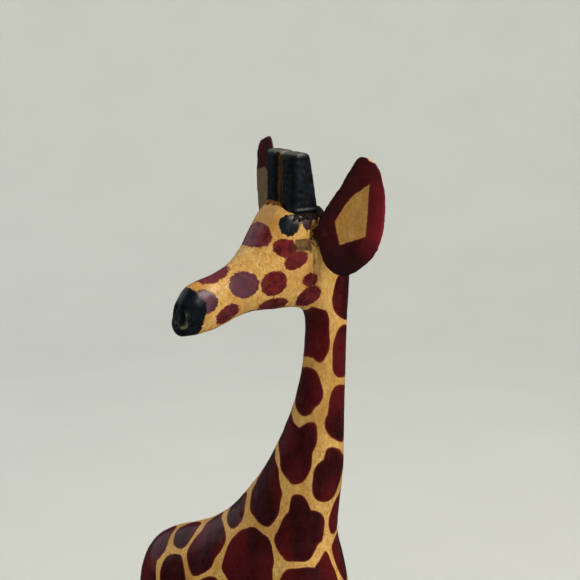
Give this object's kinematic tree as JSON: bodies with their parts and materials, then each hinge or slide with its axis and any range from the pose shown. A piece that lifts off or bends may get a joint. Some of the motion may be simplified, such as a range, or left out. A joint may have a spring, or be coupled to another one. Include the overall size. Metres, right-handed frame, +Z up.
{
  "type": "carved giraffe statue",
  "caption": "Hand-carved and painted standing wooden giraffe with its head turned to one side, upright leaf ears, square-cut horn stubs and a hanging tail.",
  "frame": {"origin": "bottom center of the whole statue's box, on the surface that the hooves stand on", "axes": "+Z up, +X from the rump toward the chest, +Y to the giraffe's left; the head is turned to the giraffe's right, toward -Y"},
  "size_m": [0.0742, 0.0495, 0.2016],
  "materials": {
    "painted_wood": "lacquered, ochre ground with maroon brush-painted spots, black muzzle and hooves",
    "painted_ear": "lacquered maroon paint with a bare ochre patch in the hollow face",
    "black_painted_wood": "lacquered black paint, bare on the inner side",
    "glue": "rough brown wood glue with sawdust"
  },
  "bodies": {
    "root": {"carved_body": "painted_wood", "left_ear": "painted_ear", "right_ear": "painted_ear", "left_horn_stub": "black_painted_wood", "right_horn_stub": "black_painted_wood", "tail": "painted_wood", "left_ear_glue": "glue", "right_ear_glue": "glue", "horn_glue": "glue"}
  },
  "joints": []
}
